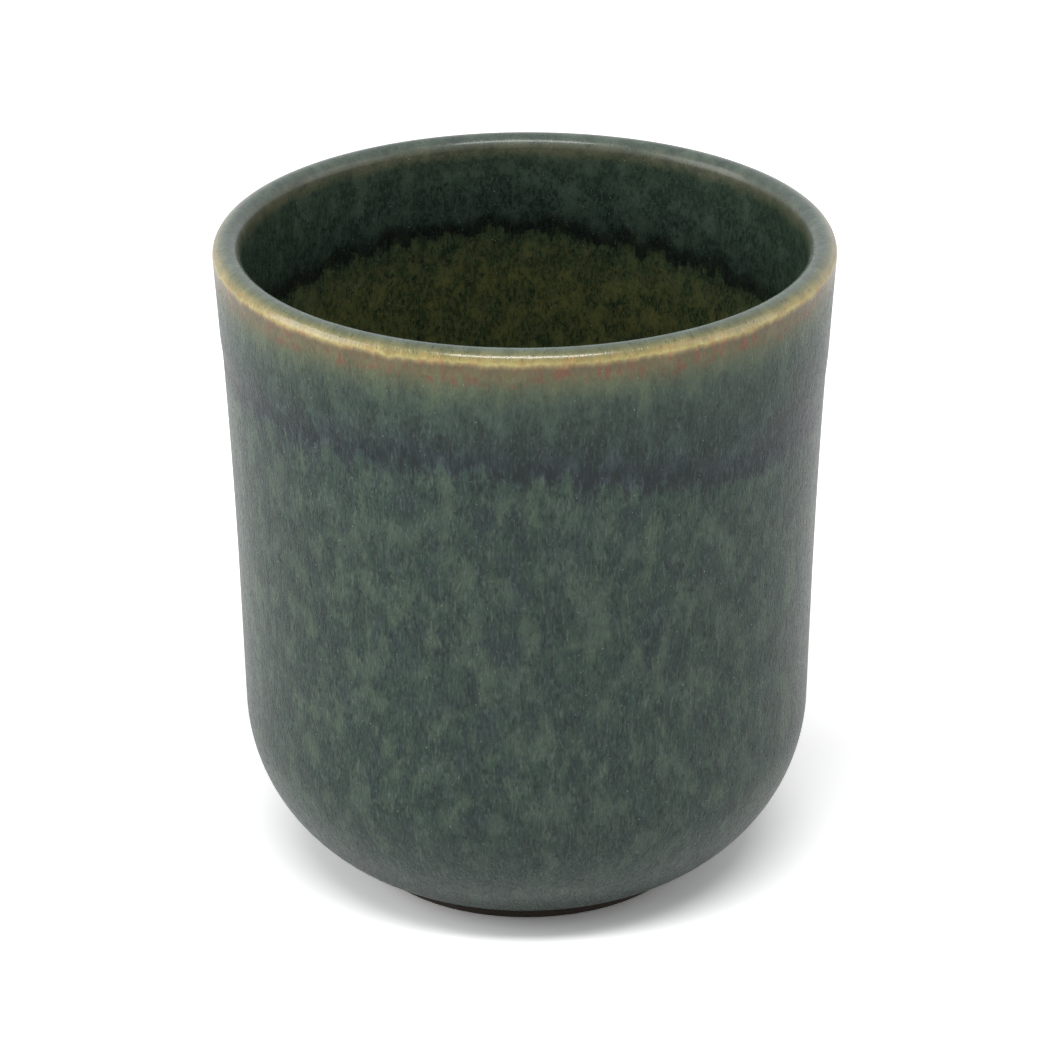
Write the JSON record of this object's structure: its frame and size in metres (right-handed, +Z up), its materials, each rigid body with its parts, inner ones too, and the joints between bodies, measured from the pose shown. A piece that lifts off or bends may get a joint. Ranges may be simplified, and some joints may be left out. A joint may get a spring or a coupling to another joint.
{
  "type": "tea cup",
  "caption": "Handleless stoneware tea cup with a slightly flared wall, a round lower corner, a low bare foot ring and a glazed lip that was dipped again; holds hot tea.",
  "frame": {"origin": "centre of the circle that the foot ring stands on, on the cup's axis", "axes": "+Z runs up the cup's axis from the foot to the lip; X and Y are free, because the cup is round"},
  "size_m": [0.08, 0.08, 0.0875],
  "materials": {
    "bare_clay": "unglazed iron-bearing stoneware, turned",
    "foot_clay": "unglazed stoneware, toasted dark brown",
    "outer_glaze": "satin grey-green reactive glaze",
    "liner_glaze": "glossy olive-brown glaze",
    "rim_glaze": "satin green-grey glaze, breaking ochre at the lip"
  },
  "bodies": {
    "root": {"stoneware_body": "bare_clay", "foot_ring": "foot_clay", "outer_glaze": "outer_glaze", "liner_glaze": "liner_glaze", "rim_glaze": "rim_glaze"}
  },
  "joints": []
}
